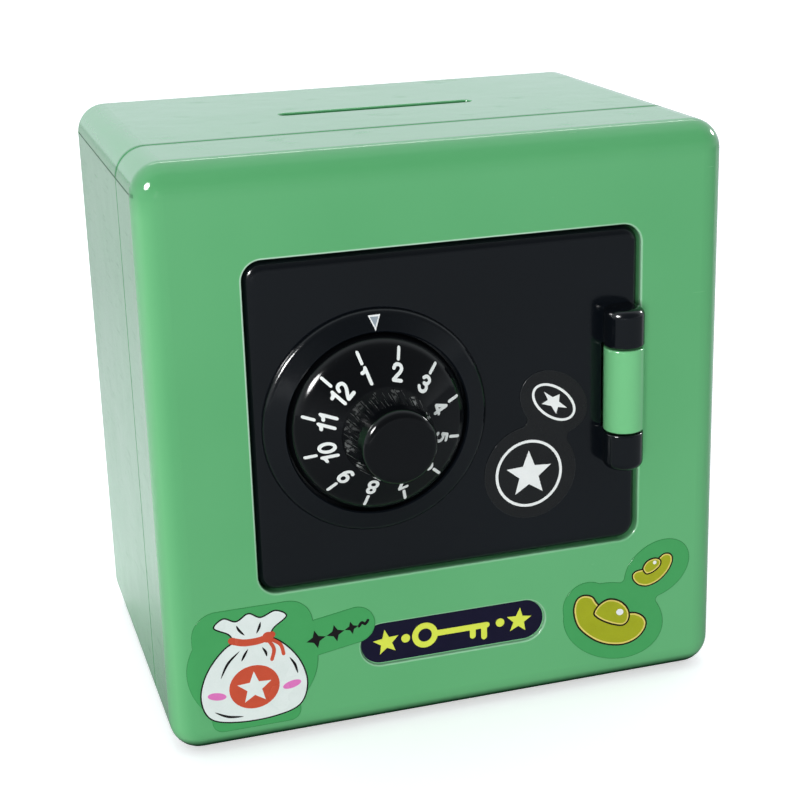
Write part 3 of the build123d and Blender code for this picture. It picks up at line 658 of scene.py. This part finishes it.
def bag_art():
    """A tied money bag with a star on it, and sparks on the tab beside it."""
    inks = {"white": BAG_INK, "black": BLACK_INK, "red": RED_INK, "pink": PINK_INK}
    art = {name: Print("bag_" + name, ink, "housing", "bag_film", "bag_label") for name, ink in inks.items()}

    def put(points):
        return moved(points, -43.1, 16.5, 1.02)

    sack = put(curve([(-3.0, 7.6), (-6.6, 5.4), (-9.7, 1.0), (-10.8, -4.0), (-9.0, -8.4), (-3.6, -10.0),
                      (3.6, -10.0), (9.0, -8.4), (10.8, -4.0), (9.7, 1.0), (6.6, 5.4), (3.0, 7.6)]))
    mouth = put(curve([(-2.8, 7.4), (-4.6, 9.4), (-7.4, 11.2), (-5.4, 12.9), (-2.9, 11.9), (-0.4, 13.2),
                       (2.0, 12.0), (5.0, 13.0), (7.2, 11.5), (4.6, 9.4), (2.8, 7.4)]))
    art["white"].fill(sack, 0.05)
    art["white"].fill(mouth, 0.065)
    art["black"].stroke(shrunk(sack, -0.02), 0.30, 0.058, closed=True)
    art["black"].stroke(shrunk(mouth, -0.02), 0.30, 0.072, closed=True)
    art["red"].fill(put(oval(0, -2.8, 5.1, 4.7)), 0.08)
    art["white"].fill(put(star(0, -3.0, 3.6, 1.55)), 0.11)
    cord = put(curve([(-4.0, 7.9), (-1.6, 7.1), (1.6, 7.1), (4.0, 7.9)], closed=False))
    art["red"].stroke(cord, 1.5, 0.12)
    art["red"].fill(put(oval(3.2, 7.5, 1.15, count=20)), 0.15)
    tails = {0.135: [(3.4, 7.2), (5.6, 5.6), (6.2, 3.4)], 0.145: [(3.2, 7.0), (4.3, 4.8), (3.8, 2.6)]}
    for height, tail in tails.items():
        art["red"].stroke(put(curve(tail, closed=False)), 0.75, height)
    for fold in ([(-2.6, 5.4), (-5.0, 3.2), (-6.6, 0.2)], [(-0.9, 5.6), (-1.7, 4.3), (-2.3, 3.2)],
                 [(2.0, 5.5), (2.6, 4.4), (2.8, 3.4)], [(-1.4, 8.7), (-2.4, 9.9), (-2.9, 11.0)],
                 [(1.0, 8.7), (1.6, 9.9), (1.9, 11.0)], [(-8.2, -7.0), (-5.6, -8.4), (-2.6, -8.9)],
                 [(7.4, 2.4), (8.4, 0.6), (8.9, -1.4)]):
        art["black"].stroke(put(curve(fold, closed=False)), 0.52, 0.10, taper=True)
    for side in (-1, 1):
        art["pink"].fill(put(oval(side * 7.6, -3.6, 1.9, 0.8, turn=side * 12, count=24)), 0.09)
    for x, z, size in ((-29.9, 21.9, 2.05), (-25.8, 22.6, 1.9), (-22.4, 23.2, 1.45)):
        art["black"].fill(star(x, z, size, size * 0.42, tips=4, turn=9), 0.06)
    wave = curve([(-20.8, 23.3), (-20.2, 24.0), (-19.5, 23.6), (-18.9, 24.3)], closed=False)
    art["black"].stroke(wave, 0.6, 0.07)
    for part in art.values():
        part.done()


def plate_art():
    """A key between two stars, in lime."""
    art = Print("plate_art", LIME_INK, "housing", "plate_film", "name_plate")
    x, z = -0.3, 18.4
    art.stroke(oval(x - 6.2, z, 2.15, count=36), 1.3, 0.10, closed=True)
    art.stroke([(x - 3.9, z), (x + 7.4, z)], 1.3, 0.09)
    for dx, length in ((4.3, 1.6), (6.8, 2.2)):
        art.stroke([(x + dx, z - 0.2), (x + dx, z - 0.4 - length)], 1.3, 0.07)
    for side in (-1, 1):
        art.fill(star(x + side * 14.6, z - 0.2, 2.9, 1.25, turn=-6 * side), 0.10)
        art.fill(oval(x + side * 10.4, z, 0.95, count=28), 0.10)
    art.done()


# ---------------------------------------------------------------- studio

LAMP_FAR, LAMP_AIM = 1.8, Vector((0, 0, 0.06))


def soft_light(name, azimuth, height, size, power, lights=True, shows=True, narrow=1.0):
    """A soft light by its direction from the object, in degrees: azimuth 0 in front, 90 at the right.

    It can light surfaces, show as a reflection in gloss, or both.
    """
    data = bpy.data.lights.new(name, "AREA")
    data.shape, data.size, data.size_y, data.energy = "ELLIPSE", size, size * narrow, power
    lamp = bpy.data.objects.new(name, data)
    bpy.context.scene.collection.objects.link(lamp)
    a, h = math.radians(azimuth), math.radians(height)
    way = Vector((math.sin(a) * math.cos(h), -math.cos(a) * math.cos(h), math.sin(h)))
    lamp.location = LAMP_AIM + way * LAMP_FAR
    lamp.rotation_mode = "QUATERNION"
    lamp.rotation_quaternion = (-way).to_track_quat("-Z", "Y")
    lamp.visible_diffuse = lights
    lamp.visible_glossy = shows


def sky():
    """A pale room that is darker in front of the object, and plain white to the camera.

    What gloss reflects from above and ahead is darker still.
    """
    world = bpy.data.worlds.new("studio")
    bpy.context.scene.world = world
    g = Graph(world, "Generated")
    _, y, z = g.axes()
    rays = g.put("ShaderNodeLightPath").outputs
    above, ahead = g.remap(z, 0.0, 0.65, 0.0, 0.30), g.remap(y, 0.0, 1.0, -0.10, -0.40)
    unlit = g.product(above, ahead, rays["Is Glossy Ray"])
    room = g.product(g.remap(y, 0.22, 0.95, -1.0, 0.4), g.math("SUBTRACT", 1.0, unlit))
    back = g.tree.nodes["Background"].inputs
    g.feed(back["Strength"], g.math("MAXIMUM", room, rays["Is Camera Ray"]))
    g.feed(back["Color"], g.mix(rays["Is Camera Ray"], (0.93, 1.0, 1.05, 1.0), (1.0, 1.0, 1.0, 1.0)))


def paper():
    """The floor's material: white to the camera, and to the rest less bright in front of the object."""
    g = Finish("floor_paper")
    pale = g.mix(g.remap(g.noise(6.0, 2.0), 0.0, 1.0), (0.90, 0.90, 0.90, 1.0), (0.93, 0.93, 0.93, 1.0))
    material = g.set(Base_Color=pale, Roughness=0.75, Specular_IOR_Level=0.2)
    glow = g.put("ShaderNodeEmission", {"Color": (1.0, 1.0, 1.0, 1.0), "Strength": 0.50})
    seen = g.put("ShaderNodeAddShader", {0: g.bsdf.outputs["BSDF"], 1: glow.outputs["Emission"]})
    y = g.axes()[1]
    grey = g.mix(g.remap(y, 0.0, 1.0, -0.06, 0.06), (0.27, 0.28, 0.29, 1.0), (0.97, 0.97, 0.97, 1.0))
    grey = g.mix(g.remap(y, 0.0, 1.0, 0.06, 0.36), grey, (0.72, 0.72, 0.72, 1.0))
    dim = g.put("ShaderNodeBsdfDiffuse", {"Color": grey})
    camera_ray = g.put("ShaderNodeLightPath").outputs["Is Camera Ray"]
    both = g.put("ShaderNodeMixShader", {0: camera_ray, 1: dim.outputs["BSDF"], 2: seen.outputs["Shader"]})
    g.feed(g.tree.nodes["Material Output"].inputs["Surface"], both.outputs["Shader"])
    return material


def floor():
    mesh = bmesh.new()
    down = Matrix.Translation((0, 0, FLOOR_Z - 0.0002))
    bmesh.ops.create_grid(mesh, x_segments=8, y_segments=8, size=3.0, matrix=down)
    data = bpy.data.meshes.new("floor")
    mesh.to_mesh(data)
    mesh.free()
    data.materials.append(paper())
    ground = bpy.data.objects.new("floor", data)
    bpy.context.scene.collection.objects.link(ground)


def studio():
    sky()
    floor()
    soft_light("key", -22, 6, 0.7, 27.2, shows=False)
    soft_light("glow", -61, 28, 0.62, 34.0, lights=False)
    soft_light("core", -63, 28, 0.22, 12.0, lights=False)
    soft_light("top", 170, 62, 1.2, 5.5, shows=False)
    soft_light("right", 104, 21, 0.30, 12.0, lights=False)
    soft_light("behind", 165, 41, 1.6, 2.2, lights=False, narrow=0.05)


def camera():
    """A view from the left and a little above."""
    data = bpy.data.cameras.new("camera")
    data.sensor_width, data.lens = 36.0, 77.43
    data.shift_x, data.shift_y = -0.02144, -0.0325
    data.clip_start, data.clip_end = 0.01, 20.0
    place_at = Matrix.Translation((-0.1024, FRONT_Y - 0.3087, 0.1788))
    right = Vector((0.95262766, -0.30309036, -0.02523436))
    up = Vector((0.11519102, 0.28276994, 0.95224587))
    ahead = Vector((0.28148103, 0.91004252, -0.30428775))
    cam = bpy.data.objects.new("camera", data)
    cam.matrix_world = place_at @ Matrix((right, up, -ahead)).transposed().to_4x4()
    bpy.context.scene.collection.objects.link(cam)
    bpy.context.scene.camera = cam
    bpy.context.scene.view_settings.view_transform = "Standard"


dress_cad_nodes()
dial_figures()
index_mark()
coin_art()
ingot_art()
bag_art()
plate_art()
studio()
camera()
